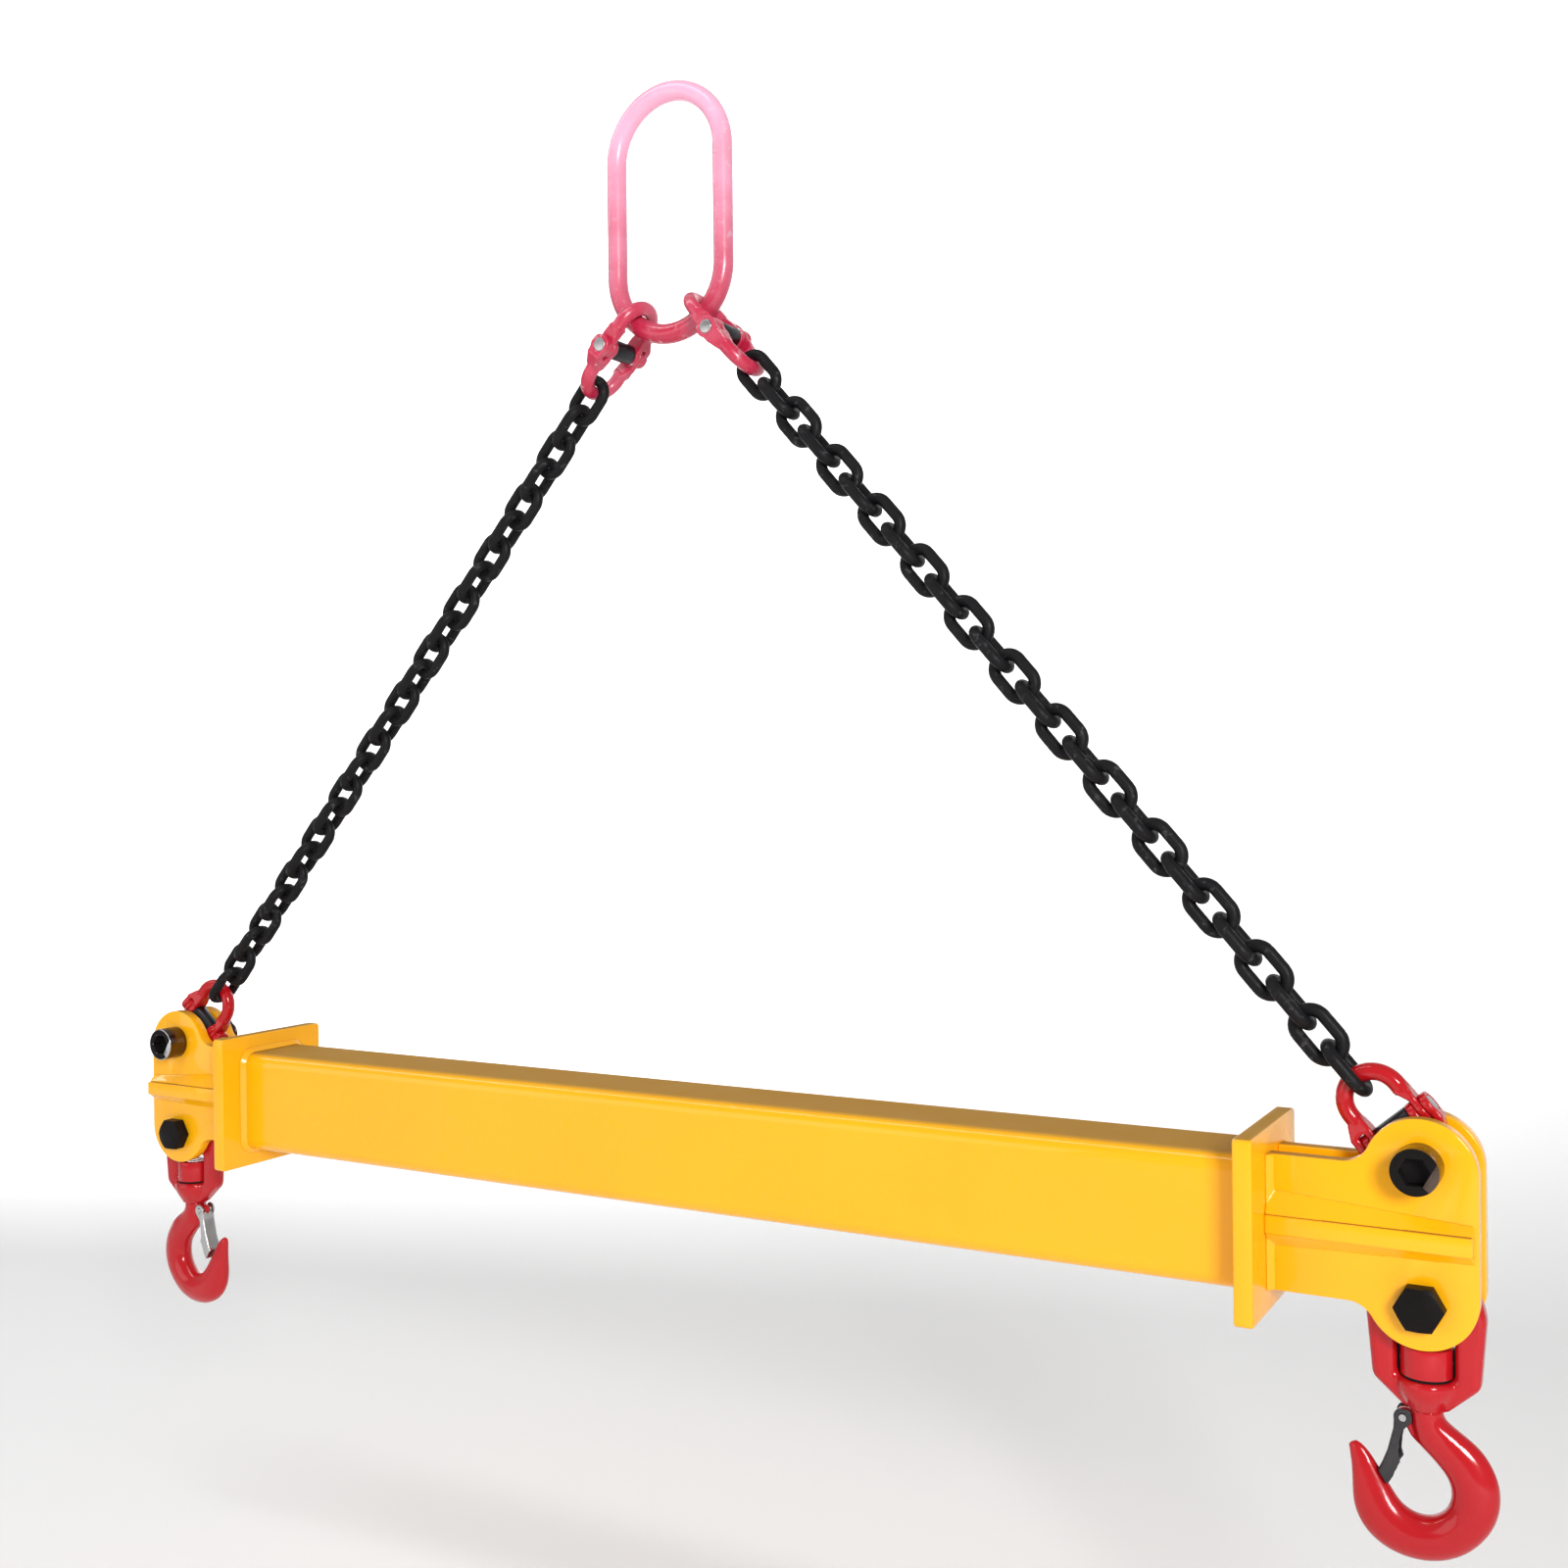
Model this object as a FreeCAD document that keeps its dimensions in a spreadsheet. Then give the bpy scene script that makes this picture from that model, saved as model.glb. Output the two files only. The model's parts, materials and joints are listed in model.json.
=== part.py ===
"""Spreader beam: a square-cut box tube hung from a two-leg chain sling, with a swivel hook below each end.

Frame: millimetres, +Z up, +X along the beam to the right-hand end, +Y to the rear.
Origin: the crown of the master link, where a crane hook carries it.
"""
import FreeCAD, Part
import Sketcher
import math
import os

from FreeCAD import Placement, Rotation, Vector

X_AXIS = Vector(1, 0, 0)
Y_AXIS = Vector(0, 1, 0)
Z_AXIS = Vector(0, 0, 1)
UPRIGHT = Rotation()
ALONG_Y = Rotation(X_AXIS, -90)
SIDES = {"left": -1, "right": 1}
FACES = {"front": -1, "rear": 1}

doc = FreeCAD.newDocument("SpreaderBeam")


# ---------------------------------------------------------------- sizes

DRIVING = {
    # box tube and its end flanges
    "tube_length": 1030,
    "tube_height": 100,
    "tube_depth": 80,
    "tube_wall": 5,
    "tube_corner": 12,
    "flange_width": 135,
    "flange_height": 135,
    "flange_thick": 14,
    "flange_corner": 4,
    # clevis cheeks: a neck with an upper and a lower lobe; heights are from the beam's axis
    "cheek_gap": 22,
    "cheek_thick": 12,
    "cheek_neck": 100,
    "lobe_radius": 38.5,
    "lobe_top": 46,
    "lobe_low": 40,
    "neck_fillet": 20,
    "bolt_span": 1270,
    "screw_rise": 51.5,
    "bolt_drop": 47,
    "rib_height": 14,
    "rib_proud": 10,
    "rib_setback": 3,
    "weld_leg": 6,
    "rib_weld_top": 18,
    "rib_weld_low": 10,
    "rib_weld_end": 7,
    # upper socket-head screws, M22
    "screw_dia": 22,
    "screw_head_dia": 33,
    "screw_head_high": 22,
    "screw_socket": 19,
    "screw_socket_deep": 12,
    "screw_nut_flats": 34,
    "screw_nut_high": 18,
    "screw_washer_dia": 39,
    # lower hexagon bolts, M20
    "bolt_dia": 20,
    "bolt_head_flats": 30,
    "bolt_head_high": 12.5,
    "bolt_nut_flats": 30,
    "bolt_nut_high": 16,
    "bolt_washer_dia": 37,
    "washer_thick": 3,
    "thread_spare": 8,
    "hole_play": 0.5,
    # master link
    "master_wire": 18,
    "master_half_width": 57,
    "master_reach": 217,
    # chain, 10 x 30
    "chain_wire": 10,
    "chain_pitch": 30,
    "chain_half_width": 12,
    "chain_links": 26,
    # connecting links between the chain and what it joins
    "lock_wire": 13,
    "lock_reach": 91,
    "lock_half_width": 20.5,
    "lock_ear_radius": 9.8,
    "lock_ear_inner": 14,
    "lock_ear_outer": 32,
    "lock_tongue": 5.4,
    "lock_pin_dia": 12,
    "lock_sleeve_dia": 18,
    "pin_play": 0.05,
    "play": 0.3,
    # swivel hooks, measured from the lower bolt's axis
    "bail_depth": 18,
    "bail_crown_radius": 40.5,
    "bail_inner_half": 19.5,
    "bail_crown_thick": 17,
    "bail_floor": 56,
    "bail_foot": 79,
    "bail_foot_half": 13,
    "bail_hip_half": 36.5,
    "bail_hip": 59,
    "hub_radius": 21,
    "shank_dia": 20,
    "thread_dia": 16,
    "nut_dia": 36,
    "nut_high": 20.5,
    "thrust_dia": 28,
    "thrust_thick": 2,
    "nut_pin_dia": 4,
    "left_hook_turn": 175,
    # hook latch
    "latch_pivot_x": 15.5,
    "latch_pivot_drop": 86,
    "latch_pin_dia": 5,
    "latch_half_width": 8,
    "latch_sheet": 1.5,
    "latch_boss_half": 3,
    "latch_boss_radius": 5.5,
    "latch_ear_radius": 6.5,
    "spring_wire": 1,
}

sheet = doc.addObject("Spreadsheet::Sheet", "Sizes")


def store(row, alias, number):
    """Put one named number into the sheet."""
    sheet.set(f"A{row}", alias)
    sheet.set(f"B{row}", repr(float(number)))
    sheet.setAlias(f"B{row}", alias)


for index, alias in enumerate(DRIVING):
    store(index + 1, alias, DRIVING[alias])
doc.recompute()


def size(alias):
    """The sheet's number under this alias."""
    return float(sheet.get(alias))


# Distances down a leg, from the centre of the master link's lower bow
lock_wire_half = size("lock_wire") / 2
lock_to_chain = lock_wire_half + size("chain_wire") / 2 + size("play")
link_half = (size("chain_pitch") + size("play") + size("chain_wire")) / 2
top_bow = size("master_half_width") - size("master_wire") / 2 - lock_wire_half - size("play")
top_pin = top_bow + size("lock_reach") / 2
first_link = top_bow + size("lock_reach") - lock_to_chain + link_half
last_link = first_link + (size("chain_links") - 1) * size("chain_pitch")
low_pin = last_link + link_half - lock_to_chain + size("lock_reach") / 2
leg_length = low_pin + size("lock_reach") / 2 - size("screw_dia") / 2 - lock_wire_half - size("play")

# Heights in the frame
sling_z = size("master_wire") / 2 - size("master_reach") + size("master_half_width")
half_span = size("bolt_span") / 2
leg_drop = math.sqrt(leg_length ** 2 - half_span ** 2)
leg_angle = math.degrees(math.asin(half_span / leg_length))

WORKED_OUT = {
    "sling_z": sling_z,
    "screw_z": sling_z - leg_drop,
    "beam_z": sling_z - leg_drop - size("screw_rise"),
    "bolt_z": sling_z - leg_drop - size("screw_rise") - size("bolt_drop"),
    "half_span": half_span,
    "flange_face": size("tube_length") / 2 + size("flange_thick"),
    "cheek_face": size("cheek_gap") / 2 + size("cheek_thick"),
    "leg_angle": leg_angle,
}
for index, alias in enumerate(WORKED_OUT):
    store(len(DRIVING) + index + 2, alias, WORKED_OUT[alias])
doc.recompute()


def formula(text):
    """A formula in sheet aliases, written the way the expression engine reads it."""
    words = text.replace("(", "( ").replace(")", " )").split()
    return " ".join(f"Sizes.{word}" if word in DRIVING or word in WORKED_OUT else word for word in words)


# ---------------------------------------------------------------- objects

nodes = []


def sub_part(item, label):
    """Name an object as one separate piece of the beam."""
    item.Label = label
    nodes.append(item)
    return item


def place(item, x, y, z, turn=UPRIGHT):
    """Turn an object and bind its position to the sheet."""
    item.Placement = Placement(Vector(), turn)
    for axis, text in zip("xyz", (x, y, z)):
        item.setExpression(f"Placement.Base.{axis}", formula(text))


def box(name, low, high):
    """A block between two corners given as formulas."""
    item = doc.addObject("Part::Box", name)
    for prop, start, end in zip(("Length", "Width", "Height"), low, high):
        item.setExpression(prop, formula(f"( {end} ) - ( {start} )"))
    place(item, *low)
    return item


def rod(name, radius, length, start, turn):
    item = doc.addObject("Part::Cylinder", name)
    item.setExpression("Radius", formula(radius))
    item.setExpression("Height", formula(length))
    place(item, *start, turn)
    return item


def hexagon(name, flats, length, start, turn):
    """A hexagonal prism, sized across its flats."""
    item = doc.addObject("Part::Prism", name)
    item.Polygon = 6
    item.setExpression("Circumradius", formula(f"( {flats} ) / sqrt(3)"))
    item.setExpression("Height", formula(length))
    place(item, *start, turn)
    return item


def chamfered(name, hexagon_item, flats, length, start, turn, outward):
    """A hexagon with the corners of one face turned off at 30 degrees."""
    item = doc.addObject("Part::Cone", f"{name}_chamfer")
    narrow = f"( {flats} ) * 0.48"
    wide = f"( {flats} ) * 0.48 + ( {length} ) * tan(60 deg)"
    item.setExpression("Radius1", formula(wide if outward else narrow))
    item.setExpression("Radius2", formula(narrow if outward else wide))
    item.setExpression("Height", formula(length))
    place(item, *start, turn)
    result = doc.addObject("Part::Common", name)
    result.Base = hexagon_item
    result.Tool = item
    return result


def join(name, *pieces):
    item = doc.addObject("Part::MultiFuse", name)
    item.Shapes = list(pieces)
    item.Refine = True
    return item


def cut(name, base, tool):
    item = doc.addObject("Part::Cut", name)
    item.Base = base
    item.Tool = tool
    return item


def group(label, pieces):
    """Identical loose pieces that share one node."""
    item = doc.addObject("Part::Compound", label)
    item.Links = list(pieces)
    return sub_part(item, label)


def forging(label, shape, placement=None):
    """A piece whose free-form shape is made with Part's own functions."""
    item = doc.addObject("Part::Feature", label)
    item.Shape = shape
    item.Placement = placement or Placement()
    return sub_part(item, label)


def mirrored(side, start, end):
    """The low and high formulas of a stretch along X, for either end of the beam."""
    if side > 0:
        return start, end
    return f"0 - ( {end} )", f"0 - ( {start} )"


def across(face, start, end):
    """The same for a stretch along Y, for the front or the rear cheek."""
    return mirrored(face, start, end)


# ---------------------------------------------------------------- sketches

def rectangle_sketch(body, name, width, height):
    """A centred rectangle on the body's YZ plane, its sides bound to the sheet."""
    sketch = body.newObject("Sketcher::SketchObject", name)
    plane = [item for item in body.Origin.OriginFeatures if item.Role == "YZ_Plane"][0]
    sketch.AttachmentSupport = [(plane, "")]
    sketch.MapMode = "FlatFace"
    corners = [Vector(-1, -1), Vector(1, -1), Vector(1, 1), Vector(-1, 1)]
    for index in range(4):
        sketch.addGeometry(Part.LineSegment(corners[index], corners[(index + 1) % 4]))
    for index in range(4):
        sketch.addConstraint(Sketcher.Constraint("Coincident", index, 2, (index + 1) % 4, 1))
    for index in (0, 2):
        sketch.addConstraint(Sketcher.Constraint("Horizontal", index))
        sketch.addConstraint(Sketcher.Constraint("Vertical", index + 1))
    sketch.addConstraint(Sketcher.Constraint("Symmetric", 0, 1, 2, 1, -1, 1))
    wide = sketch.addConstraint(Sketcher.Constraint("Distance", 0, 2))
    tall = sketch.addConstraint(Sketcher.Constraint("Distance", 1, 2))
    sketch.setExpression(f"Constraints[{wide}]", formula(width))
    sketch.setExpression(f"Constraints[{tall}]", formula(height))
    return sketch


def long_edges(feature, length):
    """Names of the straight edges along X that run the whole length."""
    names = []
    for index, edge in enumerate(feature.Shape.Edges):
        along = edge.Vertexes[0].Point - edge.Vertexes[-1].Point
        if abs(abs(along.x) - length) < 1e-6 and abs(along.y) + abs(along.z) < 1e-6:
            names.append(f"Edge{index + 1}")
    return names


def rounded_bar(label, width, height, length, corner):
    """A bar along X with its four long edges rounded."""
    body = doc.addObject("PartDesign::Body", label)
    pad = body.newObject("PartDesign::Pad", label + "_pad")
    pad.Profile = rectangle_sketch(body, label + "_outline", width, height)
    pad.setExpression("Length", formula(length))
    pad.Midplane = True
    doc.recompute()
    fillet = body.newObject("PartDesign::Fillet", label + "_corners")
    fillet.Base = (pad, long_edges(pad, pad.Length.Value))
    fillet.setExpression("Radius", formula(corner))
    body.Tip = fillet
    return body


# ---------------------------------------------------------------- box tube and flanges

def make_tube():
    outer = rounded_bar("tube_outside", "tube_depth", "tube_height", "tube_length", "tube_corner")
    inner = rounded_bar("tube_inside", "tube_depth - 2 * tube_wall", "tube_height - 2 * tube_wall",
                        "tube_length + 2", "tube_corner - tube_wall")
    for body in (outer, inner):
        place(body, "0", "0", "beam_z")
    sub_part(cut("beam_tube", outer, inner), "beam_tube")


def make_flanges():
    for name, side in SIDES.items():
        body = rounded_bar(f"{name}_end_flange", "flange_width", "flange_height", "flange_thick",
                           "flange_corner")
        place(body, f"{side} * ( flange_face - flange_thick / 2 )", "0", "beam_z")
        sub_part(body, f"{name}_end_flange")


# ---------------------------------------------------------------- clevis cheeks and ribs

def neck_web(name, side, y_low, level, lobe):
    """The concave corner between the neck and one lobe, whose height is the sheet's `lobe`."""
    lobe_height = size(lobe)
    drop = size("cheek_neck") / 2 + size("neck_fillet") - lobe_height
    reach = math.sqrt((size("lobe_radius") + size("neck_fillet")) ** 2 - drop ** 2)
    share = size("lobe_radius") / (size("lobe_radius") + size("neck_fillet"))
    x_low, x_high = mirrored(side, f"half_span - {reach}", "half_span")
    z_ends = ("beam_z", f"beam_z + {level} * ( {lobe} + {drop * share} )")
    z_low, z_high = z_ends if level > 0 else reversed(z_ends)
    block = box(f"{name}_web_block", (x_low, y_low, z_low), (x_high, f"{y_low} + cheek_thick", z_high))
    centre = (f"{side} * ( half_span - {reach} )", y_low,
              f"beam_z + {level} * ( cheek_neck / 2 + neck_fillet )")
    bite = rod(f"{name}_web_bite", "neck_fillet", "cheek_thick", centre, ALONG_Y)
    return cut(f"{name}_web", block, bite)


def make_cheek(label, side, face):
    """One clevis plate: its two holes stand a little beyond the centres of its round lobes."""
    y_low = across(face, "cheek_gap / 2", "cheek_face")[0]
    y_high = f"{y_low} + cheek_thick"
    x_low, x_high = mirrored(side, "flange_face", "half_span")
    neck = box(f"{label}_neck", (x_low, y_low, "beam_z - cheek_neck / 2"),
               (x_high, y_high, "beam_z + cheek_neck / 2"))
    x_low, x_high = mirrored(side, "half_span", "half_span + lobe_radius")
    middle = box(f"{label}_middle", (x_low, y_low, "beam_z - lobe_low"),
                 (x_high, y_high, "beam_z + lobe_top"))
    pieces = [neck, middle]
    holes = []
    for level, lobe, hole_z, bolt in ((1, "lobe_top", "screw_z", "screw_dia"),
                                      (-1, "lobe_low", "bolt_z", "bolt_dia")):
        centre = (f"{side} * half_span", y_low, f"beam_z + {level} * {lobe}")
        pieces.append(rod(f"{label}_lobe", "lobe_radius", "cheek_thick", centre, ALONG_Y))
        pieces.append(neck_web(label, side, y_low, level, lobe))
        axis = (f"{side} * half_span", y_low, hole_z)
        holes.append(rod(f"{label}_hole", f"{bolt} / 2 + hole_play", "cheek_thick", axis, ALONG_Y))
    sub_part(cut(label, join(f"{label}_plate", *pieces), join(f"{label}_holes", *holes)), label)


def make_rib(label, side, face):
    y_low, y_high = across(face, "cheek_face", "cheek_face + rib_proud")
    x_low, x_high = mirrored(side, "flange_face", "half_span + lobe_radius - rib_setback")
    bar = box(label, (x_low, y_low, "beam_z - rib_height / 2"), (x_high, y_high, "beam_z + rib_height / 2"))
    sub_part(bar, label)


# ---------------------------------------------------------------- welds

def prism(points, along):
    """A straight bead with the given corners, drawn out along a vector."""
    return Part.Face(Part.makePolygon(points + points[:1])).extrude(along)


def rounded_wire(x, half_depth, half_height, corner):
    """A rounded rectangle in the plane at x, centred on the beam's axis."""
    turns = [(1, 1, 0), (-1, 1, 90), (-1, -1, 180), (1, -1, 270)]
    edges = []
    ends = []
    for y_sign, z_sign, start in turns:
        centre = Vector(x, y_sign * (half_depth - corner), size("beam_z") + z_sign * (half_height - corner))
        arc = Part.makeCircle(corner, centre, X_AXIS, start, start + 90)
        ends.append((arc.Vertexes[0].Point, arc.Vertexes[-1].Point))
        edges.append(arc)
    for index in range(4):
        edges.append(Part.makeLine(ends[index][1], ends[(index + 1) % 4][0]))
    return Part.Wire(Part.__sortEdges__(edges))


def tube_weld(side):
    """The fillet weld that runs round the tube where it meets a flange."""
    leg = size("weld_leg")
    face = side * size("tube_length") / 2
    half_depth = size("tube_depth") / 2
    half_height = size("tube_height") / 2
    corner = size("tube_corner")
    wide = rounded_wire(face, half_depth + leg, half_height + leg, corner + leg)
    thin = rounded_wire(face - side * leg, half_depth, half_height, corner)
    bead = Part.makeLoft([wide, thin], True, True)
    inside = Part.Face(rounded_wire(face, half_depth, half_height, corner))
    return bead.cut(inside.extrude(Vector(-side * 2 * leg, 0, 0)))


def corner_bead(x, y_face, z_edge, out, up):
    """The triangular outline of a bead, at x, in the corner between a cheek and its rib."""
    return Part.makePolygon([Vector(x, y_face, z_edge), Vector(x, y_face + out, z_edge),
                             Vector(x, y_face, z_edge + up), Vector(x, y_face, z_edge)])


def cheek_weld(side, face):
    """The welds on a cheek's outer face: up the flange, and tapering beads along the rib."""
    leg = size("weld_leg")
    thin = size("rib_weld_end")
    x_start = side * size("flange_face")
    x_end = side * (half_span + size("lobe_radius") - size("rib_setback"))
    y_face = face * size("cheek_face")
    middle = size("beam_z")
    beads = []
    for level, wide in ((1, size("rib_weld_top")), (-1, size("rib_weld_low"))):
        rib_edge = middle + level * size("rib_height") / 2
        neck_edge = middle + level * size("cheek_neck") / 2
        along = Part.makeLoft(
            [corner_bead(x_start, y_face, rib_edge, face * (size("rib_proud") - 1), level * wide),
             corner_bead(x_end, y_face, rib_edge, face * thin, level * thin)], True, True)
        upright = prism([Vector(x_start, y_face, rib_edge), Vector(x_start, y_face + face * leg, rib_edge),
                         Vector(x_start + side * leg, y_face, rib_edge)], Vector(0, 0, neck_edge - rib_edge))
        beads.append(along.fuse(upright).removeSplitter())
    return beads


def make_welds():
    forging("tube_welds", Part.makeCompound([tube_weld(side) for side in SIDES.values()]))
    beads = []
    for side in SIDES.values():
        for face in FACES.values():
            beads += cheek_weld(side, face)
    forging("cheek_welds", Part.makeCompound(beads))


# ---------------------------------------------------------------- bolts of the two clevises

def make_socket_screw(label, side):
    x = f"{side} * half_span"
    head_start = (x, "0 - cheek_face - screw_head_high", "screw_z")
    head = rod(f"{label}_head", "screw_head_dia / 2", "screw_head_high", head_start, ALONG_Y)
    shank = rod(f"{label}_shank", "screw_dia / 2",
                "2 * cheek_face + washer_thick + screw_nut_high + thread_spare",
                (x, "0 - cheek_face", "screw_z"), ALONG_Y)
    socket = hexagon(f"{label}_socket", "screw_socket", "screw_socket_deep", head_start, ALONG_Y)
    sub_part(cut(label, join(f"{label}_blank", head, shank), socket), label)


def make_hex_bolt(label, side):
    x = f"{side} * half_span"
    start = (x, "0 - cheek_face - bolt_head_high", "bolt_z")
    head = hexagon(f"{label}_hexagon", "bolt_head_flats", "bolt_head_high", start, ALONG_Y)
    head = chamfered(f"{label}_head", head, "bolt_head_flats", "bolt_head_high", start, ALONG_Y, False)
    shank = rod(f"{label}_shank", "bolt_dia / 2",
                "2 * cheek_face + washer_thick + bolt_nut_high + thread_spare",
                (x, "0 - cheek_face", "bolt_z"), ALONG_Y)
    sub_part(join(label, head, shank), label)


def drilled(name, blank, hole_radius, length, start):
    return cut(name, blank, rod(f"{name}_hole", hole_radius, length, start, ALONG_Y))


def make_bolt_hardware(kind, level):
    """The washers and nuts behind the rear cheeks, for one row of bolts."""
    washers = []
    nuts = []
    for name, side in SIDES.items():
        start = (f"{side} * half_span", "cheek_face", level)
        blank = rod(f"{name}_{kind}_washer_blank", f"{kind}_washer_dia / 2", "washer_thick", start, ALONG_Y)
        washers.append(drilled(f"{name}_{kind}_washer", blank, f"{kind}_dia / 2 + hole_play",
                               "washer_thick", start))
        start = (f"{side} * half_span", "cheek_face + washer_thick", level)
        blank = hexagon(f"{name}_{kind}_nut_hexagon", f"{kind}_nut_flats", f"{kind}_nut_high", start, ALONG_Y)
        blank = chamfered(f"{name}_{kind}_nut_blank", blank, f"{kind}_nut_flats", f"{kind}_nut_high", start,
                          ALONG_Y, True)
        nuts.append(drilled(f"{name}_{kind}_nut", blank, f"{kind}_dia / 2", f"{kind}_nut_high", start))
    group(f"{kind}_washers", washers)
    group(f"{kind}_nuts", nuts)


# ---------------------------------------------------------------- round-wire links

def half_ring(radius, wire, centre, upward):
    """Half a torus in the XZ plane, on the upper or the lower side of its centre."""
    section = Part.Face(Part.Wire(Part.makeCircle(wire / 2, centre + Vector(radius, 0, 0), Z_AXIS)))
    return section.revolve(centre, Vector(0, -1, 0) if upward else Y_AXIS, 180)


def oval_link(wire, half_width, reach):
    """A closed link in the XZ plane, its two bows' wire centres `reach` apart."""
    straight = reach - 2 * half_width
    pieces = [half_ring(half_width, wire, Vector(0, 0, straight / 2), True),
              half_ring(half_width, wire, Vector(0, 0, -straight / 2), False)]
    for x in (-half_width, half_width):
        pieces.append(Part.makeCylinder(wire / 2, straight, Vector(x, 0, -straight / 2), Z_AXIS))
    return pieces[0].multiFuse(pieces[1:]).removeSplitter()


def down_leg(side, distance, twist=0):
    """The placement of something on a leg, this far from the centre of the master link's lower bow."""
    lean = Rotation(Y_AXIS, -side * size("leg_angle"))
    return Placement(Vector(0, 0, size("sling_z")) + lean.multVec(Vector(0, 0, -distance)),
                     lean * Rotation(Z_AXIS, twist))


def make_master_link():
    reach = size("master_reach")
    link = oval_link(size("master_wire"), size("master_half_width"), reach)
    forging("master_link", link, Placement(Vector(0, 0, (size("master_wire") - reach) / 2), UPRIGHT))


def make_chain(name, side):
    """One leg's chain: every second link lies across its neighbours."""
    link = oval_link(size("chain_wire"), size("chain_half_width"), 2 * link_half)
    for row, (label, twist) in enumerate((("flat", 0), ("edge", 90))):
        copies = []
        for index in range(row, int(size("chain_links")), 2):
            placement = down_leg(side, first_link + index * size("chain_pitch"), twist)
            copies.append(link.transformGeometry(placement.toMatrix()))
        forging(f"{name}_chain_{label}_links", Part.makeCompound(copies))


# ---------------------------------------------------------------- connecting links

def rectangle(centre, half_x, half_y, height):
    """A horizontal rectangle, centred at x and y = 0."""
    corners = [Vector(centre + a * half_x, b * half_y, height)
               for a, b in ((-1, -1), (1, -1), (1, 1), (-1, 1))]
    return Part.makePolygon(corners + corners[:1])


def lock_half():
    """One forged half: a bow that ends in a fork on its +X side and a tongue on its -X side."""
    wire = size("lock_wire")
    half_width = size("lock_half_width")
    inner = size("lock_ear_inner")
    outer = size("lock_ear_outer")
    ear = size("lock_ear_radius")
    tongue = size("lock_tongue")
    gap = size("play") / 2
    shoulder = ear + 0.7
    shoulder_top = shoulder + 11
    bow_centre = size("lock_reach") / 2 - half_width
    middle = (inner + outer) / 2
    pieces = [half_ring(half_width, wire, Vector(0, 0, bow_centre), True)]
    for sign, half_wide, centre in ((1, (outer - inner) / 2, middle), (-1, tongue / 2, -middle)):
        pieces.append(Part.makeCylinder(wire / 2, 7, Vector(sign * half_width, 0, bow_centre - 7), Z_AXIS))
        foot = rectangle(centre, half_wide, 8, shoulder)
        crest = rectangle(sign * half_width, wire * 0.46, wire * 0.46, shoulder_top)
        pieces.append(Part.makeLoft([foot, crest], True, True))
    prong = middle - tongue / 2 - 2 * gap - inner
    for start, width in ((inner + gap, prong), (middle + tongue / 2 + gap, prong),
                         (-middle - tongue / 2, tongue)):
        pieces.append(Part.makeCylinder(ear, width, Vector(start, 0, 0), X_AXIS))
        pieces.append(Part.makeBox(width, 16, shoulder + 1, Vector(start, -8, 0)))
    half = pieces[0].multiFuse(pieces[1:]).removeSplitter()
    bore = Part.makeCylinder(size("lock_pin_dia") / 2 + size("pin_play"), 4 * outer,
                             Vector(-2 * outer, 0, 0), X_AXIS)
    return half.cut(bore)


def make_lock(name, side, distance, twist):
    """A connecting link: two halves, the load pin that joins them and the sleeve that locks the pin."""
    spot = down_leg(side, distance, twist)
    half = lock_half()
    pin_half = size("lock_ear_outer") - size("play")
    sleeve_half = size("lock_ear_inner") - size("play")
    forging(f"{name}_upper_half", half, spot)
    forging(f"{name}_lower_half", half, spot * Placement(Vector(), Rotation(Y_AXIS, 180)))
    pin = Part.makeCylinder(size("lock_pin_dia") / 2, 2 * pin_half, Vector(-pin_half, 0, 0), X_AXIS)
    forging(f"{name}_pin", pin, spot)
    sleeve = Part.makeCylinder(size("lock_sleeve_dia") / 2, 2 * sleeve_half,
                               Vector(-sleeve_half, 0, 0), X_AXIS)
    bore = Part.makeCylinder(size("lock_pin_dia") / 2 + size("pin_play"), 2 * sleeve_half,
                             Vector(-sleeve_half, 0, 0), X_AXIS)
    forging(f"{name}_sleeve", sleeve.cut(bore), spot)


# ---------------------------------------------------------------- swivel hooks

def below_bolt(side, turn=0):
    """The placement of a hook piece drawn from its lower bolt's axis."""
    return Placement(Vector(side * half_span, 0, size("bolt_z")), Rotation(Z_AXIS, turn))


def mirror_x(point):
    return Vector(-point.x, point.y, point.z)


def closed_face(arc_ends, arc_top, corners):
    """A face in the XZ plane under an arch: an arc, then straight lines through the corners."""
    start, end = arc_ends
    outline = [Part.Arc(start, arc_top, end).toShape()]
    for first, second in zip([end] + corners, corners + [start]):
        outline.append(Part.makeLine(first, second))
    return Part.Face(Part.Wire(outline))


def upright_edges(shape, low, high):
    """The edges along Y whose height lies in a range."""
    return [edge for edge in shape.Edges
            if edge.BoundBox.YLength > 1 and edge.BoundBox.XLength + edge.BoundBox.ZLength < 1e-3
            and low < edge.BoundBox.ZMin < high]


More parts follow.
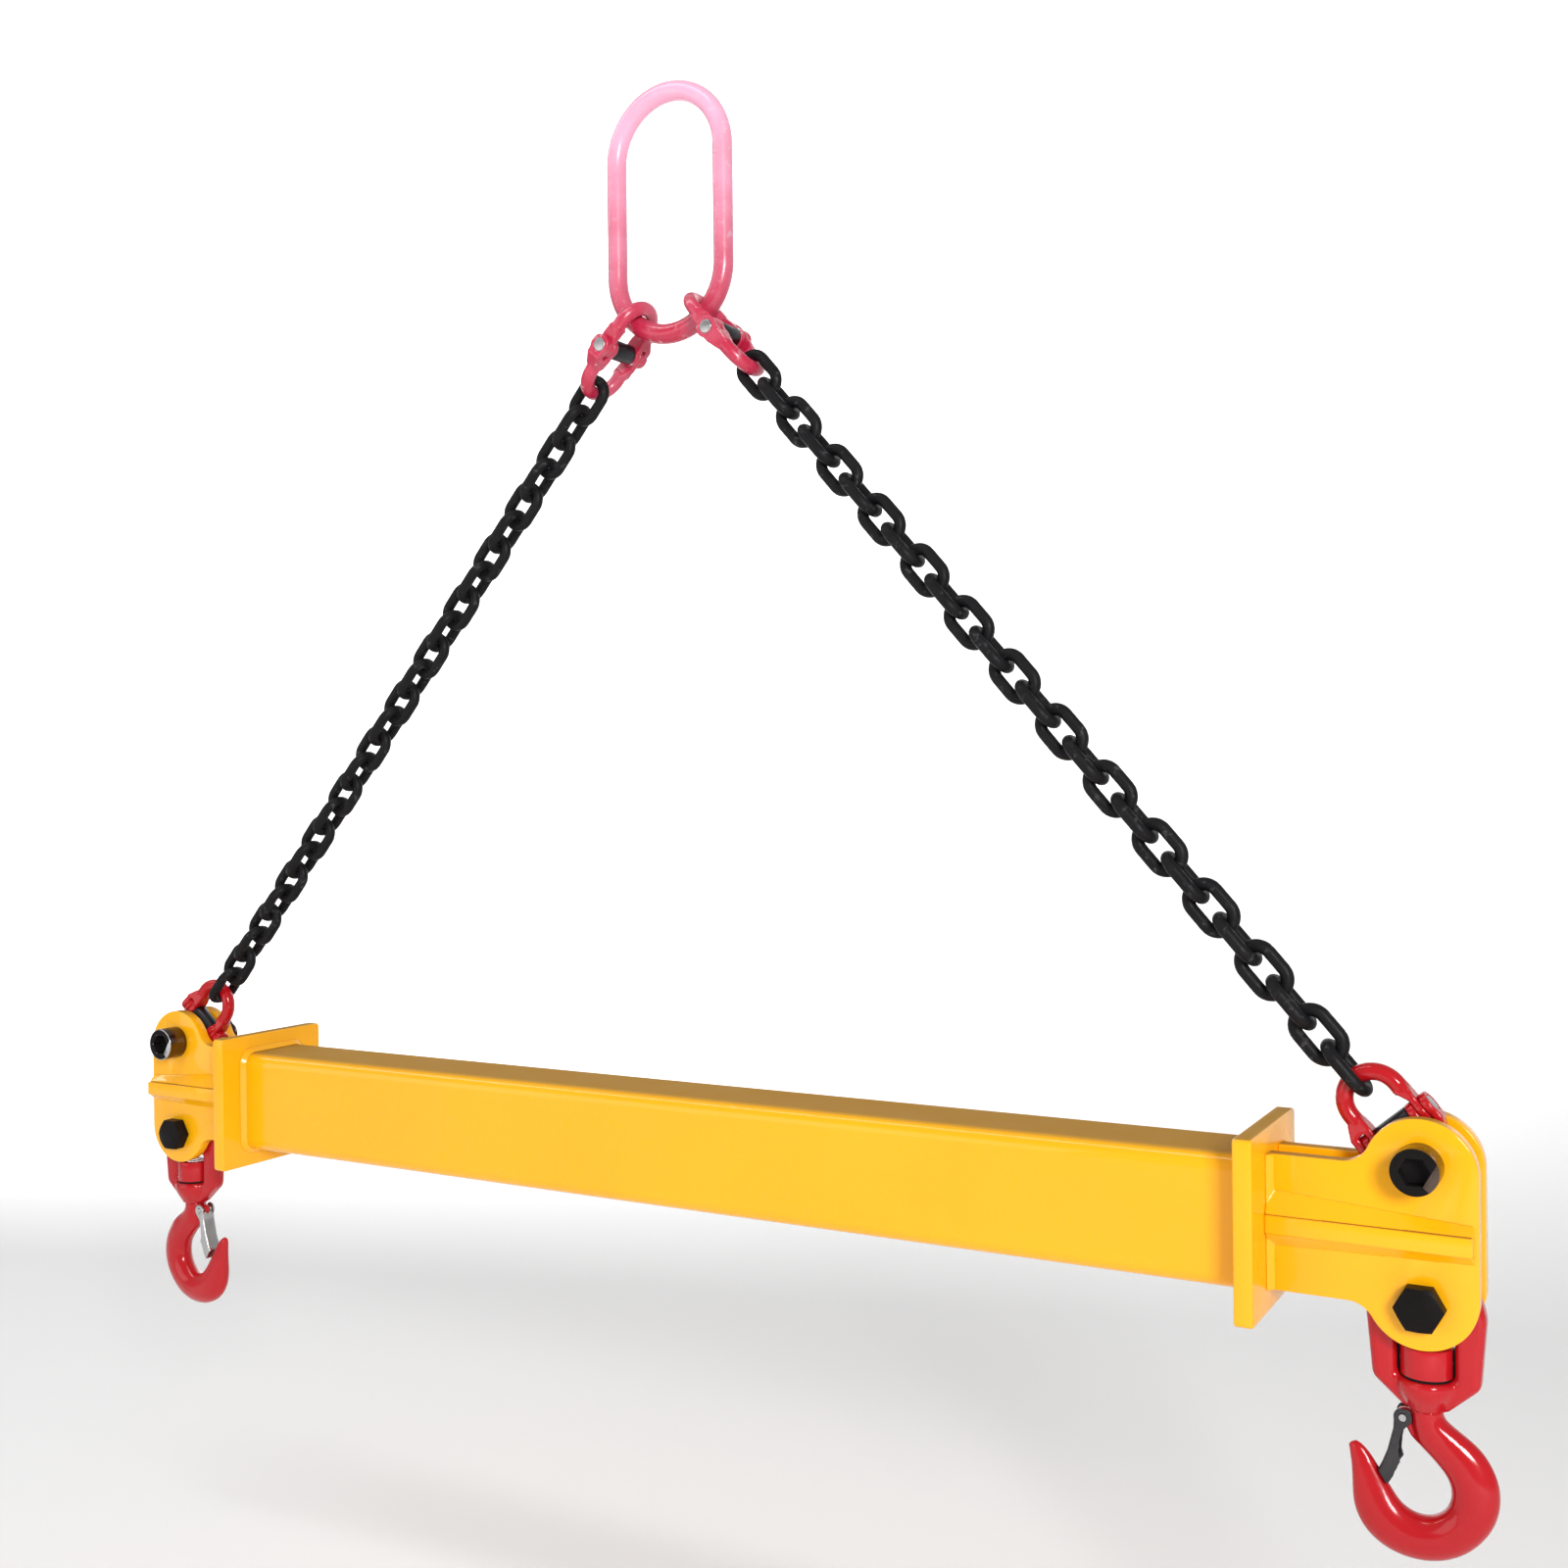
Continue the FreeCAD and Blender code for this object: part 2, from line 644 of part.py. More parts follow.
def bail_shape():
    """The forged ring that hangs on the bolt, with a bored hub at its foot for the hook's shank."""
    depth = size("bail_depth")
    crown_top = size("bolt_dia") / 2 + size("play") + size("bail_crown_thick")
    radius = size("bail_crown_radius")
    inner = size("bail_inner_half")
    hip = Vector(size("bail_hip_half"), 0, -size("bail_hip"))
    foot = Vector(size("bail_foot_half") + 2, 0, -size("bail_foot") + 1)
    floor = -size("bail_floor")
    shoulder = Vector(radius, 0, crown_top - radius)
    ring = closed_face((shoulder, mirror_x(shoulder)), Vector(0, 0, crown_top),
                       [mirror_x(hip), mirror_x(foot), foot, hip])
    ring = ring.extrude(Vector(0, depth, 0))
    spring_line = Vector(inner, 0, crown_top - size("bail_crown_thick") - inner)
    window = closed_face((spring_line, mirror_x(spring_line)), spring_line + Vector(-inner, 0, inner),
                         [Vector(-inner, 0, floor), Vector(inner, 0, floor)])
    ring = ring.cut(window.extrude(Vector(0, depth, 0)))
    ring.translate(Vector(0, -depth / 2, 0))
    ring = ring.makeFillet(9, upright_edges(ring, hip.z - 1, hip.z + 1))
    ring = ring.makeFillet(5, upright_edges(ring, floor - 1, floor + 1))
    faces = [edge for edge in ring.Edges if edge.BoundBox.YLength < 1e-6]
    ring = ring.makeFillet(5.5, faces)
    hub_radius = size("hub_radius")
    side = Part.BSplineCurve()
    side.interpolate([Vector(hub_radius, 0, floor - 3), Vector(hub_radius - 0.4, 0, floor - 8),
                      Vector(hub_radius - 3.5, 0, floor - 15), Vector(size("bail_foot_half"), 0, foot.z - 1)])
    lip = Part.Arc(Vector(hub_radius - 3, 0, floor), Vector(hub_radius - 0.88, 0, floor - 0.88),
                   Vector(hub_radius, 0, floor - 3))
    toe = Vector(size("bail_foot_half"), 0, foot.z - 1)
    profile = [Part.makeLine(Vector(0, 0, floor), Vector(hub_radius - 3, 0, floor)),
               lip.toShape(),
               side.toShape(),
               Part.makeLine(toe, Vector(0, 0, toe.z)),
               Part.makeLine(Vector(0, 0, toe.z), Vector(0, 0, floor))]
    hub = Part.Face(Part.Wire(profile)).revolve(Vector(), Z_AXIS, 360)
    bore = Part.makeCylinder(size("shank_dia") / 2 + size("pin_play"), 60, Vector(0, 0, floor - 40), Z_AXIS)
    return ring.fuse(hub).removeSplitter().cut(bore)


# Sections of the hook from neck to point: inner x and z, outer x and z, thickness
HOOK_SECTIONS = [
    (-11, -79.3, 11, -79.3, 22),
    (-10.7, -84.5, 11.4, -83.5, 21.6),
    (-10, -91.5, 15, -88, 21),
    (-8.8, -98.5, 21.5, -92.6, 20.6),
    (-5.5, -105.5, 29.5, -98.2, 20.6),
    (0.3, -111, 36.8, -105, 21.2),
    (7.2, -118, 42.8, -114.2, 22.2),
    (12.8, -125.3, 46.8, -125, 23.2),
    (15.6, -134.5, 47.8, -138, 24),
    (14.1, -144.2, 44.6, -152.5, 24.6),
    (8.6, -151.4, 35.5, -167.6, 25),
    (1.8, -155.2, 21.5, -180, 25),
    (-6, -156, 4, -187, 25),
    (-13.2, -153.9, -14, -187.8, 24.4),
    (-19, -149.6, -31.5, -182.4, 23),
    (-28, -136.3, -50, -160.5, 17.6),
    (-32.6, -129.1, -52, -147.5, 14.6),
    (-37.2, -122, -52.3, -135.8, 11.6),
    (-41.6, -116.2, -53, -126, 8.6),
    (-46, -112.4, -54, -118.6, 6),
    (-50, -110.8, -54.6, -113.8, 3),
]


def oval_section(inner_x, inner_z, outer_x, outer_z, thick):
    """An elliptical wire between an inner and an outer point of the hook's outline."""
    centre = Vector((inner_x + outer_x) / 2, 0, (inner_z + outer_z) / 2)
    across = Vector(outer_x - inner_x, 0, outer_z - inner_z)
    long_half = across.Length / 2 + 0.01
    curve = Part.Ellipse(centre + across.normalize() * long_half, centre + Y_AXIS * thick / 2, centre)
    return Part.Wire(curve.toShape())


def hook_shape():
    """A forged hook: threaded shank, neck, latch boss and a bowl that thins towards its point."""
    body = Part.makeLoft([oval_section(*section) for section in HOOK_SECTIONS], True, False)
    floor = -size("bail_floor")
    shank = Part.makeCylinder(size("shank_dia") / 2, size("bail_foot") + floor + 3,
                              Vector(0, 0, -size("bail_foot") - 3), Z_AXIS)
    stud_length = size("thrust_thick") + size("nut_high")
    stud = Part.makeCylinder(size("thread_dia") / 2, stud_length, Vector(0, 0, floor), Z_AXIS)
    pivot = Vector(-size("latch_pivot_x"), 0, -size("latch_pivot_drop"))
    half = size("latch_boss_half")
    radius = size("latch_boss_radius")
    boss = Part.makeCylinder(radius, 2 * half, pivot - Y_AXIS * half, Y_AXIS)
    web = prism([pivot + Vector(x, -half, z) for x, z in
                 ((0, radius), (14, 2), (19, -20), (8.5, -18), (4.5, -14), (0, -radius))], Y_AXIS * 2 * half)
    hole = Part.makeCylinder(size("latch_pin_dia") / 2, 4 * half, pivot - Y_AXIS * 2 * half, Y_AXIS)
    hook = body.multiFuse([shank, stud, boss, web]).removeSplitter()
    lock_hole = nut_pin_shape()
    return hook.cut(hole).cut(lock_hole)


def nut_pin_shape():
    """The pin that locks the nut to the shank."""
    height = -size("bail_floor") + size("thrust_thick") + size("nut_high") / 2
    half = size("nut_dia") / 2
    return Part.makeCylinder(size("nut_pin_dia") / 2, 2 * half, Vector(-half, 0, height), X_AXIS)


def nut_shape():
    floor = -size("bail_floor") + size("thrust_thick")
    blank = Part.makeCylinder(size("nut_dia") / 2, size("nut_high"), Vector(0, 0, floor), Z_AXIS)
    bore = Part.makeCylinder(size("thread_dia") / 2, size("nut_high"), Vector(0, 0, floor), Z_AXIS)
    return blank.cut(bore).cut(nut_pin_shape())


def thrust_washer_shape():
    floor = Vector(0, 0, -size("bail_floor"))
    blank = Part.makeCylinder(size("thrust_dia") / 2, size("thrust_thick"), floor, Z_AXIS)
    return blank.cut(Part.makeCylinder(size("thread_dia") / 2, size("thrust_thick"), floor, Z_AXIS))


# The latch in side view, from its pivot: the line of its web, then the inner edge of its flanges
LATCH_WEB = [(-6.45, 0), (-6.9, -9), (-11, -25), (-15.4, -36.5), (-17.6, -40.6), (-11.2, -50.4)]
LATCH_INNER = [(-7, -43.5), (-4.4, -36), (-2, -32.5), (-3.4, -27), (-2.6, -18), (-0.8, -10), (5.5, -3.3)]


def latch_shape():
    """A channel of folded sheet: two flanges with ears round the pin, and the web that closes the throat."""
    pivot = Vector(-size("latch_pivot_x"), 0, -size("latch_pivot_drop"))
    half = size("latch_half_width")
    skin = size("latch_sheet")
    channel = prism([pivot + Vector(x, -half, z) for x, z in LATCH_WEB + LATCH_INNER], Y_AXIS * 2 * half)
    ears = Part.makeCylinder(size("latch_ear_radius"), 2 * half, pivot - Y_AXIS * half, Y_AXIS)
    channel = channel.fuse(ears).removeSplitter()
    folds = []
    for first, second in zip(LATCH_WEB, LATCH_WEB[1:5]):
        middle = pivot + Vector(first[0] + second[0], 0, first[1] + second[1]) / 2
        folds += [edge for edge in channel.Edges if edge.BoundBox.YLength < 1e-6
                  and math.hypot(edge.CenterOfMass.x - middle.x, edge.CenterOfMass.z - middle.z) < 0.5]
    channel = channel.makeFillet(2.5, folds)
    hollow = [(-8, 12)] + [(x + skin, z) for x, z in LATCH_WEB[1:]] + [(12, -52), (20, 12)]
    channel = channel.cut(prism([pivot + Vector(x, -half + skin, z) for x, z in hollow],
                                Y_AXIS * 2 * (half - skin)))
    hole = Part.makeCylinder(size("latch_pin_dia") / 2 + size("pin_play"), 3 * half,
                             pivot - Y_AXIS * 1.5 * half, Y_AXIS)
    return channel.cut(hole)


def latch_pin_shape():
    pivot = Vector(-size("latch_pivot_x"), 0, -size("latch_pivot_drop"))
    half = size("latch_half_width") + 0.8
    return Part.makeCylinder(size("latch_pin_dia") / 2, 2 * half, pivot - Y_AXIS * half, Y_AXIS)


def latch_spring_shape():
    """A torsion spring: a coil on each side of the boss, with one leg on the neck and one on the web."""
    pivot = Vector(-size("latch_pivot_x"), 0, -size("latch_pivot_drop"))
    wire = size("spring_wire")
    coil = size("latch_pin_dia") / 2 + wire / 2 + 0.2
    first = size("latch_boss_half") + wire / 2 + 0.1
    coils = []
    for sign in (-1, 1):
        turns = []
        for index in range(3):
            centre = pivot + Y_AXIS * sign * (first + index * wire * 0.97)
            turns.append(Part.makeTorus(coil, wire / 2, centre, Y_AXIS))
        outer = centre + Vector(-coil, 0, 0)
        turns.append(Part.makeCylinder(wire / 2, 24, outer, Vector(-0.17, 0, -1)))
        inner = pivot + Y_AXIS * sign * first + Vector(0, 0, coil)
        turns.append(Part.makeCylinder(wire / 2, 5.1, inner, X_AXIS))
        coils.append(turns[0].multiFuse(turns[1:]))
    return Part.makeCompound(coils)


def make_hook(name, side, turn):
    hanging = below_bolt(side)
    turned = below_bolt(side, turn)
    forging(f"{name}_bail", bail_shape(), hanging)
    forging(f"{name}_thrust_washer", thrust_washer_shape(), turned)
    forging(f"{name}_swivel_nut", nut_shape(), turned)
    forging(f"{name}_nut_pin", nut_pin_shape(), turned)
    forging(f"{name}_hook", hook_shape(), turned)
    forging(f"{name}_latch", latch_shape(), turned)
    forging(f"{name}_latch_pin", latch_pin_shape(), turned)
    forging(f"{name}_latch_spring", latch_spring_shape(), turned)


# ---------------------------------------------------------------- assembly

make_tube()
make_flanges()
for side_name, side in SIDES.items():
    for face_name, face in FACES.items():
        make_cheek(f"{side_name}_{face_name}_cheek", side, face)
        make_rib(f"{side_name}_{face_name}_rib", side, face)
make_welds()
for side_name, side in SIDES.items():
    make_socket_screw(f"{side_name}_upper_screw", side)
    make_hex_bolt(f"{side_name}_lower_bolt", side)
make_bolt_hardware("screw", "screw_z")
make_bolt_hardware("bolt", "bolt_z")
make_master_link()
for side_name, side in SIDES.items():
    make_lock(f"{side_name}_top_lock", side, top_pin, 90)
    make_chain(side_name, side)
    make_lock(f"{side_name}_low_lock", side, low_pin, 180)
make_hook("left", SIDES["left"], size("left_hook_turn"))
make_hook("right", SIDES["right"], 0)
doc.recompute()


# ---------------------------------------------------------------- checks and export

def check(item):
    """Stop if an object failed to compute."""
    if "Invalid" in item.State or "Error" in item.State:
        raise RuntimeError(f"{item.Name} failed: {item.State}")


for item in doc.Objects:
    check(item)
for item in nodes:
    if item.Shape.isNull() or not item.Shape.isValid() or not item.Shape.Solids:
        raise RuntimeError(f"{item.Label} has no valid shape")

os.makedirs("parts", exist_ok=True)
for item in nodes:
    item.Shape.exportStep(f"parts/{item.Label}.step")
print(len(nodes), "sub-parts; leg", round(leg_length, 2), "mm at", round(leg_angle, 3), "degrees")
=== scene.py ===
"""The look of the spreader beam: gloss paint, forged steel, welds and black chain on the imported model."""

import json
import math

import bmesh
import bpy
from mathutils import Matrix, Vector

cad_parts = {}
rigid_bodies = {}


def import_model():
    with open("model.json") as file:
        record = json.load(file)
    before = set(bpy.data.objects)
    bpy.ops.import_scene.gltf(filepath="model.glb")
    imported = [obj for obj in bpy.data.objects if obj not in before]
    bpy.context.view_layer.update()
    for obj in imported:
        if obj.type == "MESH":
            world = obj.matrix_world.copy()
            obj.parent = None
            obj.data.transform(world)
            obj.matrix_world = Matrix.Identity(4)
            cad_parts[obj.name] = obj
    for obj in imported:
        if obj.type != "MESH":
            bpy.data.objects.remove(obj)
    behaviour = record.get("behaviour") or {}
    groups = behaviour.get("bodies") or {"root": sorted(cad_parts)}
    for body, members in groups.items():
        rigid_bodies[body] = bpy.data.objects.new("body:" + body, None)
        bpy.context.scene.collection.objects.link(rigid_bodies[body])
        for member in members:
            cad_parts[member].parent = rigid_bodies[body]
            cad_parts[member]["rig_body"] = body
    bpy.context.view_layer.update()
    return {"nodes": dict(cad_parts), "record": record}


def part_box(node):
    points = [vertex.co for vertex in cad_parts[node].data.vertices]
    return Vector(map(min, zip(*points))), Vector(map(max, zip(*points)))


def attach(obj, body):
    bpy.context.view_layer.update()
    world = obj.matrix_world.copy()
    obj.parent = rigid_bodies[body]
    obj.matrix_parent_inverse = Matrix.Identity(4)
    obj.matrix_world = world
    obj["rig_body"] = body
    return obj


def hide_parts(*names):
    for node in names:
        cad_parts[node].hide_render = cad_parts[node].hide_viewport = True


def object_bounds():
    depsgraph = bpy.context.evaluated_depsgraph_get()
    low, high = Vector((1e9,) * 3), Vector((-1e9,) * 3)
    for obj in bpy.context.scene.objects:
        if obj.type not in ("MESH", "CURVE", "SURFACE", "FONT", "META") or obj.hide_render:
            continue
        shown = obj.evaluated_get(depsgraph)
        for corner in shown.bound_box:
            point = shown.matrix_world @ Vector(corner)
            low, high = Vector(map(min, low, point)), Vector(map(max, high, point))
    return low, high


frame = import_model()

SIDES = ("left", "right")
FACES = ("front", "rear")
MM = 0.001


# ---------------------------------------------------------------- where things are

def middle(node):
    low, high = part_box(node)
    return (low + high) / 2


BEAM_CENTRE = middle("beam_tube")


def body_of(node):
    """The name of the CAD body that carries a node."""
    return frame["nodes"][node]["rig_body"]


def slot_of(node):
    """The record's material slot of a node."""
    return next(part["material_slot"] for part in frame["record"]["subparts"] if part["node"] == node)


# ---------------------------------------------------------------- material nodes

class Shader:
    """A small builder for one procedural material."""

    def __init__(self, name, **sockets):
        self.material = bpy.data.materials.new(name)
        self.material.use_nodes = True
        self.tree = self.material.node_tree
        self.surface = self.tree.nodes["Principled BSDF"]
        geometry = self.tree.nodes.new("ShaderNodeNewGeometry").outputs
        self.place, self.normal = geometry["Position"], geometry["Normal"]
        for socket, value in sockets.items():
            self.surface.inputs[socket.replace("_", " ")].default_value = value

    def node(self, kind, **settings):
        item = self.tree.nodes.new("ShaderNode" + kind)
        for name, value in settings.items():
            setattr(item, name, value)
        return item

    def link(self, output, target):
        self.tree.links.new(output, target)

    def noise(self, scale, detail=3.0, roughness=0.5):
        """Noise over the object, `scale` in features to the metre."""
        item = self.node("TexNoise")
        item.inputs["Scale"].default_value = scale
        item.inputs["Detail"].default_value = detail
        item.inputs["Roughness"].default_value = roughness
        self.link(self.place, item.inputs["Vector"])
        return item.outputs["Fac"]

    def spots(self, scale, low, high):
        """Small round marks, 1 at the centre of each cell and 0 beyond."""
        item = self.node("TexVoronoi")
        item.inputs["Scale"].default_value = scale
        self.link(self.place, item.inputs["Vector"])
        return self.ramp(item.outputs["Distance"], low, high, 1.0, 0.0)

    def ramp(self, source, low, high, start, end):
        item = self.node("MapRange")
        for name, value in (("From Min", low), ("From Max", high), ("To Min", start), ("To Max", end)):
            item.inputs[name].default_value = value
        self.link(source, item.inputs["Value"])
        return item.outputs["Result"]

    def maths(self, operation, first, second):
        item = self.node("Math", operation=operation)
        self.link(first, item.inputs[0])
        self.link(second, item.inputs[1])
        return item.outputs[0]

    def times(self, first, second):
        return self.maths("MULTIPLY", first, second)

    def sum(self, first, second):
        return self.maths("ADD", first, second)

    def blend(self, share, first, second):
        """A colour between two, each a plain colour or another output."""
        item = self.node("Mix", data_type="RGBA")
        self.link(share, item.inputs["Factor"])
        for socket, colour in ((item.inputs[6], first), (item.inputs[7], second)):
            if isinstance(colour, tuple):
                socket.default_value = (*colour, 1)
            else:
                self.link(colour, socket)
        return item.outputs[2]

    def height(self, vector):
        """The Z part of a place or a normal."""
        item = self.node("SeparateXYZ")
        self.link(vector, item.inputs["Vector"])
        return item.outputs["Z"]

    def edges(self, low, high):
        """1 along convex edges and 0 elsewhere."""
        point = self.node("NewGeometry").outputs["Pointiness"]
        return self.ramp(point, low, high, 0.0, 1.0)

    def colour(self, output):
        self.link(output, self.surface.inputs["Base Color"])

    def roughness(self, output):
        self.link(output, self.surface.inputs["Roughness"])

    def bump(self, height, depth, strength=1.0):
        item = self.node("Bump")
        item.inputs["Strength"].default_value = strength
        item.inputs["Distance"].default_value = depth
        self.link(height, item.inputs["Height"])
        self.link(item.outputs["Normal"], self.surface.inputs["Normal"])


def paint(name, light, dark, rough, coat, chip=None, top_shade=None):
    """Gloss paint with faint mottling and orange peel.

    `chip` is the colour of small specks, and the last argument the colour of painted shade, made matt, on
    faces that look up.
    """
    top_shade_from, top_shade_full = 0.8, 1.0
    look = Shader(name, Metallic=0.0, Coat_Weight=coat, Coat_Roughness=0.05, Specular_IOR_Level=0.2)
    tone = look.blend(look.noise(7.0, 5.0), dark, light)
    if chip:
        patches = look.ramp(look.noise(11.0), 0.58, 0.6, 0.0, 1.0)
        specks = look.times(look.spots(60.0, 0.02, 0.035), patches)
        tone = look.blend(specks, tone, chip)
    rougher = look.ramp(look.noise(25.0, 5.0), 0.3, 0.7, rough - 0.05, rough + 0.1)
    # Painted shade: faces that look up are darkened towards this colour, with no coat and a rougher finish.
    if top_shade:
        upward = look.height(look.normal)
        tone = look.blend(look.ramp(upward, top_shade_from, top_shade_full, 0.0, 0.9), tone, top_shade)
        rougher = look.sum(rougher, look.ramp(upward, top_shade_from, top_shade_full, 0.0, 0.6))
        look.link(look.ramp(upward, top_shade_from, top_shade_full, coat, 0.0), look.surface.inputs["Coat Weight"])
    look.colour(tone)
    look.roughness(rougher)
    look.bump(look.noise(420.0, 2.0), 0.00012, 0.5)
    return look.material


def red_with_painted_light():
    """Red paint with painted light: pale pink towards the crown of the master link, red lower down, and
    grey edges that are partly worn paint and partly painted highlight.
    """
    look = Shader("red_paint_painted_light", Metallic=0.0, Coat_Weight=0.3, Coat_Roughness=0.1)
    red_below, pink_above = -0.21, -0.02
    # Painted light: the paint turns pale pink with height, towards the crown.
    top_light = look.ramp(look.height(look.place), red_below, pink_above, 0.0, 1.0)
    top_light = look.sum(top_light, look.ramp(look.noise(22.0, 4.0), 0.2, 0.8, -0.22, 0.22))
    tone = look.blend(top_light, (0.52, 0.018, 0.060), (0.93, 0.42, 0.58))
    # Grey along convex edges, partly worn paint and partly a painted highlight.
    wear_and_highlight = look.times(look.ramp(look.noise(120.0, 4.0), 0.6, 0.68, 0.0, 1.0), look.edges(0.505, 0.53))
    look.colour(look.blend(wear_and_highlight, tone, (0.62, 0.60, 0.62)))
    look.roughness(look.ramp(look.noise(45.0, 5.0), 0.3, 0.7, 0.2, 0.36))
    look.bump(look.noise(300.0, 4.0), 0.0002, 0.5)
    return look.material


def steel(name, light, dark, rough, grain=300.0, metallic=1.0):
    """Bare, plated or blackened steel with a fine grain."""
    look = Shader(name, Metallic=metallic, Specular_IOR_Level=0.08)
    look.colour(look.blend(look.noise(40.0, 6.0), dark, light))
    look.roughness(look.ramp(look.noise(90.0, 4.0), 0.3, 0.7, rough - 0.08, rough + 0.1))
    look.bump(look.noise(grain, 5.0), 0.0002, 0.4)
    return look.material


def chain_black():
    """Black lacquer over a rolled surface, with paler rubbed marks."""
    look = Shader("black_chain", Metallic=0.0, Coat_Weight=0.03, Coat_Roughness=0.3,
                  Specular_IOR_Level=0.12)
    tone = look.blend(look.noise(60.0, 6.0), (0.004, 0.004, 0.005), (0.013, 0.012, 0.013))
    rubbed = look.ramp(look.noise(150.0, 3.0), 0.62, 0.72, 0.0, 1.0)
    look.colour(look.blend(rubbed, tone, (0.045, 0.043, 0.045)))
    look.roughness(look.ramp(look.noise(150.0, 5.0), 0.3, 0.7, 0.36, 0.58))
    look.bump(look.noise(500.0, 6.0), 0.0004, 0.5)
    return look.material


MATERIALS = {
    "yellow_paint": paint("yellow_paint", (1.0, 0.48, 0.003), (0.96, 0.42, 0.002), rough=0.24, coat=0.55,
                          chip=(0.42, 0.22, 0.02), top_shade=(0.38, 0.20, 0.03)),
    "red_paint": paint("red_paint", (0.55, 0.009, 0.016), (0.37, 0.004, 0.007), rough=0.17, coat=0.4),
    "black_chain": chain_black(),
    "black_steel": steel("black_steel", (0.012, 0.010, 0.010), (0.004, 0.003, 0.003), 0.42, metallic=0.0),
    "plated_steel": steel("plated_steel", (0.62, 0.61, 0.60), (0.42, 0.42, 0.43), 0.3),
    "dark_sleeve": steel("dark_sleeve", (0.060, 0.060, 0.066), (0.03, 0.03, 0.034), 0.4),
    # Painted reflection: the zinc is darkened as if it mirrored dark surroundings.
    "zinc_sheet": steel("zinc_sheet", (0.10, 0.095, 0.10), (0.045, 0.042, 0.044), 0.36, grain=160.0),
    "spring_steel": steel("spring_steel", (0.5, 0.5, 0.5), (0.3, 0.3, 0.31), 0.3),
    "red_paint_painted_light": red_with_painted_light(),
    "browned_steel": steel("browned_steel", (0.17, 0.125, 0.10), (0.07, 0.050, 0.042), 0.24, grain=240.0),
}
# The master link and the top locks take the red paint with painted light; the left latch takes pale plated
# steel as a painted reflection.
OWN_MATERIALS = {"master_link": "red_paint_painted_light", "left_latch": "plated_steel"}
for side in SIDES:
    OWN_MATERIALS[f"{side}_upper_screw"] = "browned_steel"
    for half in ("upper", "lower"):
        OWN_MATERIALS[f"{side}_top_lock_{half}_half"] = "red_paint_painted_light"


def material_of(node):
    return MATERIALS[OWN_MATERIALS.get(node, slot_of(node))]


# ---------------------------------------------------------------- pieces made from the CAD

def colour_in(obj, node):
    """Give a mesh its node's material and no other."""
    obj.data.materials.clear()
    obj.data.materials.append(material_of(node))


def dress(obj, node):
    """Give a piece its node's material, body and slot."""
    colour_in(obj, node)
    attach(obj, body_of(node))


def copy_of(node, name):
    """A loose copy of a CAD node, with its faces stitched together."""
    stitch = 0.002 * MM
    mesh = frame["nodes"][node].data.copy()
    obj = bpy.data.objects.new(name, mesh)
    bpy.context.scene.collection.objects.link(obj)
    work = bmesh.new()
    work.from_mesh(mesh)
    bmesh.ops.remove_doubles(work, verts=work.verts, dist=stitch)
    work.to_mesh(mesh)
    work.free()
    if mesh.has_custom_normals:
        mesh.normals_split_custom_set([(0, 0, 0)] * len(mesh.loops))
    return obj


def object_from(work, name):
    """A new object in the scene that takes over a finished bmesh."""
    mesh = bpy.data.meshes.new(name)
    work.to_mesh(mesh)
    work.free()
    obj = bpy.data.objects.new(name, mesh)
    bpy.context.scene.collection.objects.link(obj)
    return obj


def skin(work, rings):
    """Close a row of rings of vertices into a tube with both ends capped."""
    around = len(rings[0])
    for low, high in zip(rings, rings[1:]):
        for step in range(around):
            after = (step + 1) % around
            work.faces.new((low[step], high[step], high[after], low[after]))
    work.faces.new(rings[0])
    work.faces.new(rings[-1][::-1])


def bake(obj):
    """Turn a piece's modifiers into its own mesh."""
    evaluated = obj.evaluated_get(bpy.context.evaluated_depsgraph_get())
    mesh = bpy.data.meshes.new_from_object(evaluated)
    obj.modifiers.clear()
    obj.data = mesh


def shade(obj, angle=None):
    """Smooth shading, kept sharp at edges steeper than `angle` degrees."""
    for face in obj.data.polygons:
        face.use_smooth = True
    if angle:
        obj.data.set_sharp_from_angle(angle=math.radians(angle))


def bevelled(node, width):
    """The node with its hard edges rounded."""
    flat = math.radians(0.5)
    hard = math.radians(35)
    obj = copy_of(node, node + "_rounded")
    work = bmesh.new()
    work.from_mesh(obj.data)
    bmesh.ops.dissolve_limit(work, angle_limit=flat, verts=work.verts, edges=work.edges)
    work.to_mesh(obj.data)
    work.free()
    bevel = obj.modifiers.new("round", "BEVEL")
    bevel.width = width
    bevel.segments = 3
    bevel.limit_method = "ANGLE"
    bevel.angle_limit = hard
    bake(obj)
    shade(obj, 50)
    dress(obj, node)
    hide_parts(node)
    return obj


def forged(node, voxel, rounds):
    """The node as a forging: every corner blended by remeshing and smoothing."""
    obj = copy_of(node, node + "_forged")
    remesh = obj.modifiers.new("even", "REMESH")
    remesh.mode = "VOXEL"
    remesh.voxel_size = voxel
    bake(obj)
    smooth = obj.modifiers.new("soft", "SMOOTH")
    smooth.factor = 0.5
    smooth.iterations = rounds
    bake(obj)
    shade(obj)
    dress(obj, node)
    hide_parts(node)


def narrow_beyond(obj, plane_y, shrink, centre):
    """Narrow the stretch of a bolt beyond `plane_y`, so that a thread can stand round it."""
    on_plane = 0.2 * MM
    work = bmesh.new()
    work.from_mesh(obj.data)
    bmesh.ops.bisect_plane(work, geom=work.verts[:] + work.edges[:] + work.faces[:],
                           plane_co=(0, plane_y, 0), plane_no=(0, 1, 0))
    for vert in work.verts:
        if vert.co.y > plane_y + on_plane:
            vert.co.x = centre.x + (vert.co.x - centre.x) * shrink
            vert.co.z = centre.z + (vert.co.z - centre.z) * shrink
    work.to_mesh(obj.data)
    work.free()


